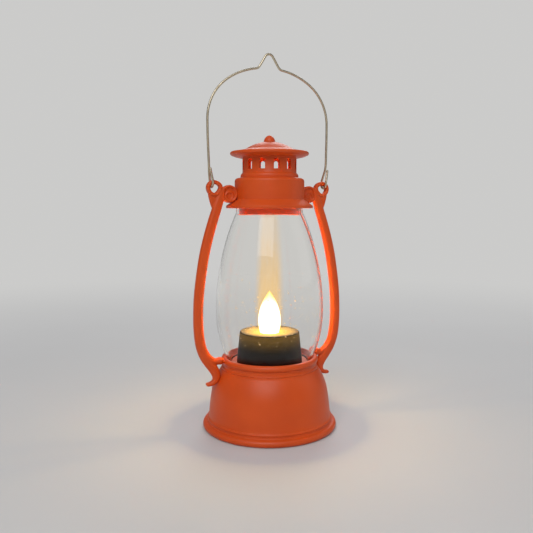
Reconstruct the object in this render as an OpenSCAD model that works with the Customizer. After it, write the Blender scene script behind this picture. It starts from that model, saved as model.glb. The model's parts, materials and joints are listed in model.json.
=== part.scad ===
// Small battery lantern in the shape of a hurricane lamp: a moulded shell with a
// clear globe, an LED candle, two scroll-ended side arms and a swinging wire bail.
// Millimetres, +Z up, origin on the table at the centre of the base.
// The side arms lie in the XZ plane and the switch is on the -Y side of the underside.

/* [Base] */
// Largest radius of the foot roll
foot_r = 28.75; // [28.6:0.05:29.0]
// Radius of the round section of the foot roll
foot_roll_r = 1.4; // [1.35:0.05:1.45]
// Wall thickness of the base shell
shell_wall = 1.7; // [1.6:0.05:1.8]
// Radius of the closing plate under the base
plate_r = 26; // [25.9:0.05:26]
// Thickness of the closing plate
plate_t = 1.6; // [1.5:0.05:1.6]
// Height of the closing plate's outer face above the table
plate_z = 1.1; // [1.05:0.05:1.15]

/* [Globe] */
// Largest outer radius of the globe
globe_r = 22.9; // [22.7:0.05:23]
// Wall thickness of the globe
globe_wall = 1.2; // [1.1:0.05:1.25]
// Height of the globe's widest ring
globe_waist_z = 50; // [49.9:0.05:50.1]

/* [Crown] */
// Outer radius of the collar above the globe
collar_r = 14.6; // [14.5:0.05:14.6]
// Radius of the chimney tube
chimney_r = 11.3; // [11.2:0.05:11.4]
// Number of air windows round the chimney
window_count = 12; // [8:2:12]
// Width of one air window
window_w = 2.3; // [2:0.1:2.6]
// Radius of the roof brim
brim_r = 16.45; // [16.2:0.05:16.8]

/* [Arms and bail] */
// Thickness of the side arms where they are round
arm_d = 4.1; // [3.9:0.1:4.2]
// Radius of the hole in each eyelet
eyelet_hole_r = 2.1; // [2.1:0.05:2.2]
// Diameter of the bail wire
bail_wire_d = 0.9; // [0.8:0.05:0.9]

/* [Candle] */
// Radius of the candle cup at its top
cup_top_r = 12.8; // [12.6:0.1:12.9]
// Largest radius of the flame diffuser
flame_r = 4.8; // [4.7:0.1:5]
// Height of the tip of the flame diffuser
flame_tip_z = 58.4; // [58:0.1:59]

/* [Battery] */
// Diameter of a button cell
cell_d = 11.6; // [11.4:0.1:11.6]
// Thickness of a button cell
cell_t = 5.4; // [5.2:0.1:5.4]
// Travel of the switch slider
switch_travel = 2; // [1.6:0.1:2]

/* [Hidden] */

$fn = 64;
gap = 0.05;    // running gap between nested pieces
orange = "orangered";

// Base
plate_top = plate_z + plate_t;
foot_c = [foot_r - foot_roll_r, foot_roll_r];    // centre of the foot roll
side_arc = [-103.4, -4.9];    // centre of the shallow arc of the base side
side_arc_r = 130;
shoulder_arc = [2.58, 11.95];    // centre of the shoulder arc above it
shoulder_arc_r = 22.7;
side_a = 4.5;    // slope of the side at its foot, degrees from upright
join_a = 9;    // slope where the two arcs meet
neck_a = 36.6;    // slope where the shoulder meets the neck
neck_bead = [19.4, 29.15];    // centre of the round bead that holds the globe
neck_bead_r = 1.35;
neck_top = neck_bead[1] + neck_bead_r;
globe_seat_r = 19.1;
globe_seat_z = 28.2;
deck_hole_r = 14.2;
deck_t = 1.5;
boss_ring_r = 20.6;
rib_end_r = 24.6;    // just inside the wall
boss_angles = [90, 210, 330];
boss_top = 15;
base_screw_r = 1;

// Globe
globe_top_arc_r = 102;
globe_low_arc_r = 49;
globe_neck_r = 14;
globe_neck_z = 91.5;
neck_bore_z = 90.6;    // foot of the straight bore that takes the collar's skirt

// Crown
flange_z = 93.4;
flange_r = 18.26;
cone_top = 97.05;
collar_top = 105.9;
skirt_r = globe_neck_r - globe_wall + 0.2 - 2 * gap;
skirt_bottom = 90.7;
chimney_wall = 1.2;
chimney_top = 114.3;
window_z = 109.4;
window_h = 3.2;    // straight part, below the round head
roof_apex = 121;
roof_edge = [10.2, 117.8];    // where the dome meets the brim
roof_dome_h = roof_apex - roof_edge[1];
roof_dome_r = (pow(roof_edge[0], 2) + pow(roof_dome_h, 2)) / (2 * roof_dome_h);
brim_z = 116.05;
finial_r = 2.45;
finial_z = 120.7;
finial_top = 123.7;

// Arms
arm_r = arm_d / 2;
arm_x = 31.45;    // widest point of the arm's centre line
arm_z = 49;
arm_top_arc_r = 122;
arm_mid_arc_r = 80;
arm_low_arc_r = 17.7;
arm_top_a = 21.5;
arm_mid_a = 9;
arm_low_a = 41.6;
arm_half_t = 1.45;    // half thickness of the flat top of the arm
eyelet = [24.4, 101.6];
eyelet_r = 3.1;
volute = [18.1, 99.4];
volute_r = 3.45;
peg_r = 0.6;
stub_z = 30.1;
stub_r = 1.5;
peg_z = 29.5;

// Bail
bail_r = bail_wire_d / 2;
hook_r = 2.3;    // centre-line radius of the hook round the eyelet
hook_x = 25;
hook_z = eyelet[1] + (eyelet_r + eyelet_hole_r) / 2;    // height of the swing axis
leg_low = [26.25, 111];
leg_top = [26.7, 129];
bail_end = [26, -1.8, 109.7];    // free end of the hook
bail_shoulder_r = 20;
bail_shoulder_a = 54;
bail_crest_r = 29;
bail_crest_a = 83.4;
peak_r = 1.9;
peak_a = 58.5;
peak_top = 156.5;

// Candle
cup_top = 41.1;
cup_foot_r = 14.1;
cup_wall = 1.2;
cup_flange_r = 16;
cup_flange_z = globe_seat_z - deck_t - 1.2;
flame_root_r = 3.9;
board_r = 12;
board_top = 33.6;
board_t = 1.2;
led_r = 2.5;
led_base_z = 35.4;
led_top_z = 44;

// Battery bay and switch
cell_r = cell_d / 2;
stack_l = 3 * cell_t;
bay_x = 10.3;    // half length inside
bay_y = 6;    // half width inside
bay_wall = 1.2;
bay_z = 14.5;    // inside height
door_t = 1;
cell_z = plate_z + door_t + 0.5 + gap + cell_r;
contact_t = 0.3;
stack_x = -bay_x + contact_t;    // where the stack of cells starts
spring_wire_r = 0.3;
door_screw_x = 14.7;
door_screw_r = 0.8;
switch_y = -14;
switch_size = [8.6, 3.8, 3.5];
knob_x = -switch_travel / 2;

// Points along an arc of radius r round c, from a0 to a1 degrees.
function arc(c, r, a0, a1, n = 12) =
    [for (i = [0 : n]) let (a = a0 + (a1 - a0) * i / n) c + r * [cos(a), sin(a)]];

// Radius of the globe's outer face at height z, or of a face set in from it.
function globe_radius(z, inset = 0) =
    let (big = z > globe_waist_z ? globe_top_arc_r : globe_low_arc_r, dz = z - globe_waist_z)
    globe_r - big + sqrt(pow(big - inset, 2) - dz * dz);

// Radius of the flame diffuser a share t of the way up from its root.
function flame_radius(t, r, root) =
    t < 0.28 ? root + (r - root) * sin(90 * t / 0.28)
             : r * pow(cos(90 * (t - 0.28) / 0.72), 0.85);

// A straight round rod from p to q.
module rod(p, q, r) {
    d = q - p;
    translate(p)
        rotate([0, acos(d[2] / norm(d)), atan2(d[1], d[0])])
            cylinder(h = norm(d), r = r);
}

// A round bend in the XZ plane about c = [x, z].
module bend(c, bend_r, a0, a1, r) {
    translate([c[0], 0, c[1]])
        rotate([90, 0, 0])
            rotate([0, 0, a0])
                rotate_extrude(angle = a1 - a0)
                    translate([bend_r, 0]) circle(r = r);
}

// A slightly proud ball that closes the joint between two lengths of rod.
module knuckle(p, r) {
    translate(p) sphere(r = r + 0.03);
}

// A rod bent through the points of a path, with a knuckle at each turn.
module bent_rod(path, r) {
    for (i = [0 : len(path) - 2]) rod(path[i], path[i + 1], r);
    for (i = [1 : 1 : len(path) - 2]) knuckle(path[i], r);
}

// A round tube swept along a list of points as one mesh. No stretch may run along ref.
module swept_tube(centres, r, ref) {
    sides = 8;
    n = len(centres) - 1;
    function along(i) = centres[min(i + 1, n)] - centres[max(i - 1, 0)];
    function unit(v) = v / norm(v);
    function ring(i) = let (t = unit(along(i)), u = unit(cross(t, ref)), v = cross(t, u))
        [for (k = [0 : sides - 1]) centres[i] + r * (cos(360 * k / sides) * u + sin(360 * k / sides) * v)];
    points = [for (i = [0 : n]) each ring(i)];
    walls = [for (i = [0 : n - 1], k = [0 : sides - 1])
        let (a = i * sides + k, b = i * sides + (k + 1) % sides)
        each [[a, a + sides, b], [b, a + sides, b + sides]]];
    first = [for (k = [1 : sides - 2]) [0, k, k + 1]];
    last = [for (k = [1 : sides - 2]) let (o = n * sides) [o, o + k + 1, o + k]];
    polyhedron(points = points, faces = concat(walls, first, last));
}

// An insulated wire bent as one smooth curve: p holds its ends and the two points it leans to.
module lead_wire(p) {
    function at(t) = pow(1 - t, 3) * p[0] + 3 * t * pow(1 - t, 2) * p[1]
        + 3 * t * t * (1 - t) * p[2] + pow(t, 3) * p[3];
    swept_tube([for (i = [0 : 24]) at(i / 24)], 0.5, [0.3, -0.8, 0.1]);
}

// Copies its children at each boss of the base.
module at_bosses() {
    for (a = boss_angles) rotate([0, 0, a]) translate([boss_ring_r, 0, 0]) children();
}

module base_shell_profile() {
    inner = shoulder_arc_r - shell_wall;
    polygon(concat(
        [[plate_r + gap, 0]],
        arc(foot_c, foot_roll_r, -90, 90, 20),
        [[26.78, 2.98], [26.6, 3.35]],
        arc([26.25, 4.4], 0.6, -55, 80, 10),
        arc(side_arc, side_arc_r, side_a, join_a, 6),
        arc(shoulder_arc, shoulder_arc_r, join_a + 1, neck_a, 14),
        [[20.5, 25.62]],
        arc([20.15, 26.15], 0.45, -50, 60, 8),
        [[20.05, 26.8], [19.95, 27.3]],
        arc(neck_bead, neck_bead_r, -65, 90, 20),
        [[globe_seat_r, neck_top], [globe_seat_r, globe_seat_z],
         [deck_hole_r, globe_seat_z], [deck_hole_r, globe_seat_z - deck_t],
         [18.6, globe_seat_z - deck_t]],
        arc(shoulder_arc, inner, neck_a, join_a + 1, 10),
        arc(side_arc, side_arc_r - shell_wall, join_a, side_a, 4),
        [[24.5, plate_top], [plate_r + gap, plate_top]]));
}

module base_shell() {
    color(orange)
        difference() {
            union() {
                rotate([0, 0, 40]) rotate_extrude() base_shell_profile();
                at_bosses() {
                    translate([0, 0, plate_top]) cylinder(h = boss_top - plate_top, r = 2.4);
                    translate([0, -0.8, plate_top])
                        cube([rib_end_r - boss_ring_r, 1.6, boss_top - plate_top]);
                }
            }
            at_bosses() translate([0, 0, plate_top - 1]) cylinder(h = 10, r = base_screw_r + gap);
            for (side = [-1, 1])
                rod([side * 19.35, 0, peg_z], [side * 22, 0, peg_z], peg_r + gap);
        }
}

// Outline of the battery door, a rounded rectangle with a tab for its screw.
module door_outline(grow = 0) {
    square([2 * (bay_x + 1.9 + grow), 2 * (bay_y + 1.5 + grow)], center = true);
    translate([door_screw_x, 0]) circle(r = 2.9 + grow);
    translate([(bay_x + door_screw_x) / 2, 0])
        square([door_screw_x - bay_x, 2 * (2.9 + grow)], center = true);
}

module bottom_plate() {
    color(orange)
        difference() {
            union() {
                translate([0, 0, plate_z]) cylinder(h = plate_t, r = plate_r);
                // battery bay
                translate([-bay_x - bay_wall, -bay_y - bay_wall, plate_top])
                    cube([2 * (bay_x + bay_wall), 2 * (bay_y + bay_wall),
                          bay_z + bay_wall - plate_top]);
                // boss for the door screw
                translate([door_screw_x, 0, plate_z]) cylinder(h = 7.4, r = 2.4);
                // cradle of the switch
                for (side = [-1, 1])
                    translate([side * (switch_size[0] / 2 + 0.65) - 0.6, switch_y - 1.9, plate_top])
                        cube([1.2, 3.8, 2.6]);
            }
            translate([-bay_x, -bay_y, plate_z - 1]) cube([2 * bay_x, 2 * bay_y, bay_z - plate_z + 1]);
            translate([0, 0, plate_z - 1]) linear_extrude(door_t + 1) door_outline(0.12);
            // slots in the bay's roof for the contact tabs
            for (side = [-1, 1])
                translate([side * (bay_x - 0.15) - 0.25, -1.3, bay_z - 1]) cube([0.5, 2.6, 4]);
            translate([door_screw_x, 0, plate_z]) cylinder(h = 6.4, r = door_screw_r + gap);
            at_bosses() {
                translate([0, 0, plate_z - 1]) cylinder(h = 1.8, r = 2.2);
                translate([0, 0, plate_z]) cylinder(h = 4, r = base_screw_r + 0.2);
            }
            translate([-2.6, switch_y - 1.1, plate_z - 1]) cube([5.2, 2.2, 4]);
        }
}

module battery_door() {
    color(orange)
        difference() {
            union() {
                translate([0, 0, plate_z]) linear_extrude(door_t) door_outline();
                translate([0.1 - bay_x, 0.1 - bay_y, plate_z])
                    cube([2 * bay_x - 0.2, 2 * bay_y - 0.2, door_t + 0.5]);
            }
            // finger grooves
            for (i = [-2 : 2])
                translate([-8 + i, -4, plate_z - 0.1]) cube([0.5, 8, 0.4]);
            translate([door_screw_x, 0, plate_z - 1]) cylinder(h = 4, r = door_screw_r + 0.2);
            translate([door_screw_x, 0, plate_z - 1]) cylinder(h = 1.2, r = 1.85);
        }
}

// A pan-head screw with a cross recess, head down.
module screw(head_z, head_r, head_h, r, l) {
    color("silver")
        difference() {
            union() {
                translate([0, 0, head_z]) cylinder(h = head_h, r = head_r);
                translate([0, 0, head_z + head_h]) cylinder(h = l - 1, r = r);
                translate([0, 0, head_z + head_h + l - 1]) cylinder(h = 1, r1 = r, r2 = r / 3);
            }
            for (a = [0, 90])
                rotate([0, 0, a])
                    translate([-head_r * 0.6, -0.2, head_z - 1]) cube([head_r * 1.2, 0.4, 1.5]);
        }
}

module door_screw() {
    translate([door_screw_x, 0, 0]) screw(0.35, 1.7, plate_z + 0.2 - 0.35, door_screw_r, 5.4);
}

module base_screws() {
    at_bosses() screw(0.6, 2, plate_z + 0.8 - 0.6, base_screw_r, 8.5);
}

module switch_housing() {
    color("silver")
        difference() {
            translate([-switch_size[0] / 2, switch_y - switch_size[1] / 2, plate_top])
                cube(switch_size);
            translate([-3.1, switch_y - 1.35, plate_top - 1]) cube([6.2, 2.7, 3]);
        }
}

module switch_slider() {
    color("dimgray")
        translate([knob_x, switch_y, 0]) {
            difference() {
                translate([-0.9, -0.9, 0.35]) cube([1.8, 1.8, 2.6]);
                for (i = [-1 : 1])
                    translate([i * 0.55 - 0.12, -1, 0.3]) cube([0.24, 2, 0.25]);
            }
            translate([-1.9, -1.2, plate_top + 0.1]) cube([3.8, 2.4, 1.5]);
        }
}

module switch_terminals() {
    color("silver")
        for (x = [-2.5, 0, 2.5])
            translate([x, switch_y, plate_top + switch_size[2]]) cylinder(h = 2.6, r = 0.35);
}

// One button cell: a can with a smaller stepped cap on its +X end.
module button_cell(i) {
    color("gainsboro")
        translate([stack_x + i * cell_t, 0, cell_z])
            rotate([0, 90, 0]) {
                cylinder(h = cell_t - 0.9, r = cell_r);
                translate([0, 0, cell_t - 0.9]) cylinder(h = 0.88, r = cell_r - 1.5);
            }
}

module contact(side) {
    color("silver")
        translate([side * (bay_x - contact_t / 2 - 0.02), 0, 0]) {
            translate([-contact_t / 2 + 0.02, -4, cell_z - 4.5]) cube([contact_t - 0.04, 8, 9]);
            translate([-contact_t / 2 + 0.02, -1.1, cell_z]) cube([contact_t - 0.04, 2.2, 9.5]);
        }
}

// Conical coil between the last cell and the negative contact.
module battery_spring() {
    turns = 2.75;
    steps = 66;
    x0 = stack_x + stack_l + spring_wire_r + 0.02;
    x1 = bay_x - contact_t - spring_wire_r - 0.04;
    centres = [for (i = [0 : steps]) let (t = i / steps, a = 360 * turns * t, r = 2.6 + 1.6 * t)
        [x0 + (x1 - x0) * t, r * cos(a), r * sin(a)]];
    color("silver") translate([0, 0, cell_z]) swept_tube(centres, spring_wire_r, [1, 0, 0]);
}

// Outer radius of the cup's side at height z.
function cup_radius(z) =
    cup_top_r + (cup_foot_r - cup_top_r) * (cup_top - z) / (cup_top - globe_seat_z);

module candle_cup() {
    step_z = board_top + gap;
    color("#151515")
        rotate_extrude()
            polygon(concat(
                [[cup_flange_r, cup_flange_z], [cup_flange_r, globe_seat_z - deck_t - 0.02],
                 [cup_foot_r, globe_seat_z - deck_t - 0.02], [cup_foot_r, globe_seat_z]],
                arc([cup_top_r - 0.7, cup_top - 0.7], 0.7, 5, 90, 8),
                [[cup_top_r - 1.4, cup_top - 0.15], [flame_root_r + 1.6, cup_top - 0.6],
                 [flame_root_r + gap, cup_top - 0.6], [flame_root_r + gap, cup_top - 2.2],
                 [cup_radius(39) - cup_wall, cup_top - 2.2],
                 [cup_radius(step_z) - 2.4, step_z], [board_r + gap, step_z],
                 [board_r + gap, cup_flange_z]]));
}

module led_board() {
    color("darkgreen")
        difference() {
            translate([0, 0, board_top - board_t]) cylinder(h = board_t, r = board_r);
            for (x = [-1.27, 1.27])
                translate([x, 0, board_top - 2]) cylinder(h = 3, r = 0.4);
            for (x = [-7, 7])
                translate([x, 3, board_top - 2]) cylinder(h = 3, r = 0.6);
            for (x = [-3.6, 3.6])
                translate([x, -5.5, board_top - 2]) cylinder(h = 3, r = 0.4);
        }
}

module resistor() {
    z = board_top + 1.2;
    color("tan") {
        rod([-1.7, -5.5, z], [1.7, -5.5, z], 0.9);
        for (x = [-1.7, 1.7]) translate([x, -5.5, z]) sphere(r = 1.02);
    }
    color("silver")
        bent_rod([[-3.6, -5.5, board_top - board_t - 0.6], [-3.6, -5.5, z],
               [3.6, -5.5, z], [3.6, -5.5, board_top - board_t - 0.6]], 0.3);
}

module led_bulb() {
    color("gold")
        rotate_extrude()
            polygon(concat(
                [[0, led_base_z], [led_r + 0.4, led_base_z], [led_r + 0.4, led_base_z + 1],
                 [led_r, led_base_z + 1]],
                arc([0, led_top_z - led_r], led_r, 0, 90, 16)));
}

module led_leads() {
    color("silver")
        for (x = [-1.27, 1.27])
            translate([x, 0, board_top - board_t - 0.8])
                cylinder(h = led_base_z - board_top + board_t + 0.8, r = 0.3);
}

// Hollow translucent flame with a root that plugs into the cup from below.
module flame_tip() {
    z0 = cup_top - 0.5;
    h = flame_tip_z - z0;
    n = 28;
    outer = [for (i = [0 : n]) let (t = i / n)
        [max(flame_radius(t, flame_r, 4.1), i == n ? 0 : 0.35), z0 + h * t]];
    hollow_top = 0.8;
    inner = [for (i = [0 : n]) let (t = i / n)
        [i == n ? 0 : max(flame_radius(t, flame_r - 1.1, 3), 0.1), z0 + h * hollow_top * t]];
    color("moccasin")
        rotate_extrude()
            polygon(concat(
                outer, [for (i = [n : -1 : 0]) inner[i]],
                [[3, cup_top - 3.2], [5.2, cup_top - 3.2], [5.2, cup_top - 2.22],
                 [flame_root_r, cup_top - 2.22], [flame_root_r, cup_top - 0.58],
                 [4.1, cup_top - 0.58]]));
}

module wire_red() {
    color("red")
        lead_wire([[-bay_x - 0.65, 0, cell_z + 9], [-12, 0, 24], [-7, 3, 24], [-7, 3, board_top + 0.4]]);
}

module wire_black() {
    z = plate_top + switch_size[2] + 1.6;
    color("#202020")
        lead_wire([[2.5, switch_y + 0.9, z], [2.5, switch_y + 0.9, 20], [7, 3, 20],
                   [7, 3, board_top + 0.4]]);
}

module wire_link() {
    z = plate_top + switch_size[2] + 1.6;
    color("#202020")
        lead_wire([[0, switch_y - 0.9, z], [0, switch_y - 0.9, 20], [13, -8, 19],
                   [bay_x + 0.7, 0, cell_z + 8.6]]);
}

module globe() {
    outer = [for (i = [0 : 40]) let (z = globe_seat_z + (globe_neck_z - globe_seat_z) * i / 40)
        [globe_radius(z), z]];
    inner = [for (i = [40 : -1 : 0]) let (z = globe_seat_z + (neck_bore_z - globe_seat_z) * i / 40)
        [globe_radius(z, globe_wall), z]];
    bore_r = globe_neck_r - globe_wall + 0.2;
    color("lightcyan", 0.3)
        rotate_extrude()
            polygon(concat(
                outer, [[globe_neck_r, flange_z], [bore_r, flange_z], [bore_r, neck_bore_z + 0.3]],
                inner));
}

module collar() {
    color(orange)
        difference() {
            rotate([0, 0, 40]) rotate_extrude()
                polygon(concat(
                    [[skirt_r - 1.2, skirt_bottom], [skirt_r - 0.3, skirt_bottom],
                     [skirt_r, skirt_bottom + 0.3], [skirt_r, flange_z],
                     [flange_r - 0.35, flange_z]],
                    arc([flange_r - 0.35, flange_z + 0.35], 0.35, -80, 0, 5),
                    arc([flange_r - 0.35, flange_z + 0.85], 0.35, 0, 55, 4),
                    [[collar_r, cone_top]],
                    arc([collar_r - 1.4, collar_top - 1.4], 1.4, 0, 90, 12),
                    [[chimney_r - 0.9, collar_top], [chimney_r - 0.9, collar_top - 1.5],
                     [collar_r - 1.4, collar_top - 1.5], [collar_r - 1.4, 96],
                     [skirt_r - 1.2, 95]]));
            for (side = [-1, 1])
                rod([side * (collar_r - 1.2), 0, volute[1]], [side * 16, 0, volute[1]], peg_r + gap);
        }
}

// A chimney window: a slot with a round head, cut along +X.
module window() {
    translate([chimney_r - 3, -window_w / 2, window_z]) cube([5, window_w, window_h]);
    translate([chimney_r - 3, 0, window_z + window_h])
        rotate([0, 90, 0]) cylinder(h = 5, r = window_w / 2);
}

module vent_chimney() {
    inner = chimney_r - chimney_wall;
    color(orange)
        difference() {
            rotate_extrude()
                polygon(concat(
                    [[inner - 1, collar_top - 1.5], [chimney_r - 0.95, collar_top - 1.5],
                     [chimney_r - 0.95, collar_top], [chimney_r + 0.85, collar_top],
                     [chimney_r + 0.85, collar_top + 0.7]],
                    arc([chimney_r - 0.75, collar_top + 0.7], 1.6, 8, 55, 5),
                    [[chimney_r, collar_top + 2.3], [chimney_r, chimney_top],
                     [inner, chimney_top], [inner, collar_top + 1.2], [inner - 1, collar_top + 0.2]]));
            for (i = [0 : window_count - 1])
                rotate([0, 0, 263 + i * 360 / window_count]) window();
        }
}

module roof_cap() {
    dome_a = asin(roof_edge[0] / roof_dome_r);
    inside_r = chimney_r - chimney_wall - gap;
    color(orange)
        rotate_extrude()
            polygon(concat(
                [for (i = [0 : 14]) let (a = 90 * i / 14)
                    [finial_r * pow(sin(a), 1.25), finial_z + (finial_top - finial_z) * cos(a)]],
                [[finial_r + 0.12, roof_apex - 0.28]],
                [for (i = [2 : 8]) let (a = dome_a * i / 8)
                    [roof_dome_r * sin(a), roof_apex - roof_dome_r * (1 - cos(a))]],
                [[12.7, 117.25], [14.8, 116.75]],
                arc([brim_r - 0.8, brim_z], 0.8, 62, -62, 12),
                [[14.6, 114.75], [12.9, 114.38], [chimney_r + 0.3, chimney_top],
                 [inside_r, chimney_top], [inside_r, chimney_top - 0.5],
                 [inside_r - 1.2, chimney_top - 0.5], [inside_r - 1.2, 115.6],
                 [5, 118.4], [0, 119.2]]));
}

// The right side arm: eyelet, volute, round bar, stub and scroll foot.
module side_arm() {
    top_c = [arm_x - arm_top_arc_r, arm_z];
    mid_c = [arm_x - arm_mid_arc_r, arm_z];
    mid_end = mid_c + arm_mid_arc_r * [cos(-arm_mid_a), sin(-arm_mid_a)];
    low_c = mid_end - arm_low_arc_r * [cos(-arm_mid_a), sin(-arm_mid_a)];
    low_end = low_c + arm_low_arc_r * [cos(-arm_low_a), sin(-arm_low_a)];
    top_end = top_c + arm_top_arc_r * [cos(arm_top_a), sin(arm_top_a)];
    heel = [24.4, 24.4];
    toe = [27.7, 20.8];
    color(orange) {
        difference() {
            union() {
                bend(top_c, arm_top_arc_r, 0, arm_top_a, arm_r);
                bend(mid_c, arm_mid_arc_r, -arm_mid_a, 0, arm_r);
                bend(low_c, arm_low_arc_r, -arm_low_a, -arm_mid_a, arm_r);
                for (p = [[arm_x, arm_z], mid_end, low_end, top_end]) knuckle([p[0], 0, p[1]], arm_r);
                // flat top that carries the eyelet and the volute
                translate([0, arm_half_t, 0])
                    rotate([90, 0, 0])
                        linear_extrude(2 * arm_half_t)
                            polygon([[27.3, 100.4], [26.8, 98.4], [26.3, 96.4], [25, 93.2], [21.2, 92.8],
                                     [20.3, 96.8], [19.9, 102], [21.6, 103.4]]);
                translate([eyelet[0], arm_half_t, eyelet[1]])
                    rotate([90, 0, 0]) cylinder(h = 2 * arm_half_t, r = eyelet_r);
                translate([volute[0], arm_half_t, volute[1]])
                    rotate([90, 0, 0]) cylinder(h = 2 * arm_half_t, r = volute_r);
                rod([volute[0], 0, volute[1]], [collar_r - 0.9, 0, volute[1]], peg_r);
                // stub to the neck bead, with its peg
                rod([28.4, 0, stub_z], [20.85, 0, stub_z], stub_r);
                rod([22, 0, peg_z], [19.45, 0, peg_z], peg_r);
                // foot: heel behind the shoulder, toe turned out
                rod([low_end[0], 0, low_end[1]], [heel[0], 0, heel[1]], arm_r - 0.1);
                knuckle([heel[0], 0, heel[1]], arm_r - 0.1);
                rod([heel[0], 0, heel[1]], [toe[0], 0, toe[1]], 1.05);
                translate([toe[0], 0, toe[1]]) sphere(r = 1.08);
            }
            translate([eyelet[0], 3, eyelet[1]])
                rotate([90, 0, 0]) cylinder(h = 6, r = eyelet_hole_r);
            // recessed face of the volute, round a small boss
            for (side = [-1, 1])
                translate([volute[0], side * (arm_half_t + 1 - 0.5), volute[1]])
                    rotate([90, 0, 0])
                        difference() {
                            cylinder(h = 2, r = volute_r - 0.9, center = true);
                            cylinder(h = 3, r = 1.3, center = true);
                        }
        }
    }
}

module right_arm() {
    side_arm();
}

module left_arm() {
    mirror([1, 0, 0]) side_arm();
}

// Half of the bail, from its hook to the top of the peak.
module bail_half() {
    shoulder_c = [leg_top[0] - bail_shoulder_r, leg_top[1]];
    shoulder_end = shoulder_c + bail_shoulder_r * [cos(bail_shoulder_a), sin(bail_shoulder_a)];
    crest_c = shoulder_end - bail_crest_r * [cos(bail_shoulder_a), sin(bail_shoulder_a)];
    crest_end = crest_c + bail_crest_r * [cos(bail_crest_a), sin(bail_crest_a)];
    peak_c = [0, peak_top - peak_r];
    peak_end = peak_c + peak_r * [sin(peak_a), cos(peak_a)];
    // hook: half a turn under the eyelet, in the plane across the swing axis
    translate([hook_x, 0, hook_z])
        rotate([90, 0, 90])
            rotate([0, 0, 180])
                rotate_extrude(angle = 180) translate([hook_r, 0]) circle(r = bail_r);
    bent_rod([[hook_x, -hook_r, hook_z], bail_end], bail_r);
    bent_rod([[hook_x, hook_r, hook_z], [leg_low[0], 0, leg_low[1]], [leg_top[0], 0, leg_top[1]]],
             bail_r);
    bend(shoulder_c, bail_shoulder_r, 0, bail_shoulder_a, bail_r);
    bend(crest_c, bail_crest_r, bail_shoulder_a, bail_crest_a, bail_r);
    rod([crest_end[0], 0, crest_end[1]], [peak_end[0], 0, peak_end[1]], bail_r);
    for (p = [leg_top, shoulder_end, crest_end, peak_end]) knuckle([p[0], 0, p[1]], bail_r);
    for (y = [-hook_r, hook_r]) knuckle([hook_x, y, hook_z], bail_r);
    knuckle(bail_end, bail_r);
}

module bail_wire() {
    color("tan") {
        bail_half();
        mirror([1, 0, 0]) bail_half();
        bend([0, peak_top - peak_r], peak_r, 90 - peak_a, 90 + peak_a, bail_r);
    }
}

base_shell();
bottom_plate();
battery_door();
door_screw();
base_screws();
switch_housing();
switch_slider();
switch_terminals();
button_cell(0);  // button_cell_1
button_cell(1);  // button_cell_2
button_cell(2);  // button_cell_3
battery_spring();
contact(1);  // negative_contact
contact(-1);  // positive_contact
candle_cup();
led_board();
resistor();
led_bulb();
led_leads();
flame_tip();
wire_red();
wire_black();
wire_link();
globe();
collar();
vent_chimney();
roof_cap();
left_arm();
right_arm();
bail_wire();
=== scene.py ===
import json
import math
import random

import bpy
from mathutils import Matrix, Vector


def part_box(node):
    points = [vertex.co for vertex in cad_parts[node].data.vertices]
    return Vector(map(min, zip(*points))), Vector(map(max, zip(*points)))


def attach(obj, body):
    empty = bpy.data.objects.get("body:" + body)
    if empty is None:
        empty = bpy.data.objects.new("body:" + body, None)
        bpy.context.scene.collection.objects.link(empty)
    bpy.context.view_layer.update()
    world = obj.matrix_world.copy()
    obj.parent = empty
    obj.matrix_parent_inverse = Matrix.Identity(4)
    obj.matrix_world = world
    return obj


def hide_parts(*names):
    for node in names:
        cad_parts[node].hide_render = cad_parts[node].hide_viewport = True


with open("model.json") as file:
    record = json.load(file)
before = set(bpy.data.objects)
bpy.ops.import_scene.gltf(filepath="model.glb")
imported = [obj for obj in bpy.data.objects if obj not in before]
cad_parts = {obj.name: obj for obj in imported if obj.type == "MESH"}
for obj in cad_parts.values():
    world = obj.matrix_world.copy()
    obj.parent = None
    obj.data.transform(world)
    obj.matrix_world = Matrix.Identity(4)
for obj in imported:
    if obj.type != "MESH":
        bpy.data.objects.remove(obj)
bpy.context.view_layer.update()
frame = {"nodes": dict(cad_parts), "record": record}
random.seed(11)

MM = 0.001
SPLIT_ANGLE = math.radians(31)


# ---------------------------------------------------------------- shader helpers

def add(tree, kind, props=None, **inputs):
    """Adds a shader node. An input is a number, colour or socket, by name with _ for a space, or as in0."""
    node = tree.nodes.new("ShaderNode" + kind)
    for key, value in (props or {}).items():
        setattr(node, key, value)
    for key, value in inputs.items():
        by_place = key.startswith("in") and key[2:].isdigit()
        socket = node.inputs[int(key[2:])] if by_place else node.inputs[key.replace("_", " ")]
        if isinstance(value, bpy.types.NodeSocket):
            tree.links.new(value, socket)
        else:
            socket.default_value = value
    return node


def maths(tree, operation, a, b=0.0, clamp=False):
    """One step of arithmetic on two numbers or sockets."""
    return add(tree, "Math", {"operation": operation, "use_clamp": clamp}, in0=a, in1=b).outputs[0]


def vector_maths(tree, operation, a, b=(0, 0, 0), result="Vector"):
    """The same on vectors. result is "Value" for an operation that gives a number."""
    return add(tree, "VectorMath", {"operation": operation}, in0=a, in1=b).outputs[result]


def mix_colour(tree, share, a, b):
    """Colour a where share is 0, and b where it is 1."""
    return add(tree, "Mix", {"data_type": "RGBA"}, in0=share, in6=a, in7=b).outputs[2]


def spread(tree, value, low, high, to_low=0.0, to_high=1.0):
    """Maps a value from the range low..high on to to_low..to_high, with soft ends."""
    node = add(tree, "MapRange", {"interpolation_type": "SMOOTHSTEP"}, Value=value)
    for name, v in (("From Min", low), ("From Max", high), ("To Min", to_low), ("To Max", to_high)):
        node.inputs[name].default_value = v
    return node.outputs[0]


def place(tree, stretch=(1, 1, 1)):
    """Object coordinates, stretched so that a pattern can run along an axis."""
    where = add(tree, "TexCoord").outputs["Object"]
    return add(tree, "Mapping", Vector=where, Scale=stretch).outputs[0]


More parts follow.
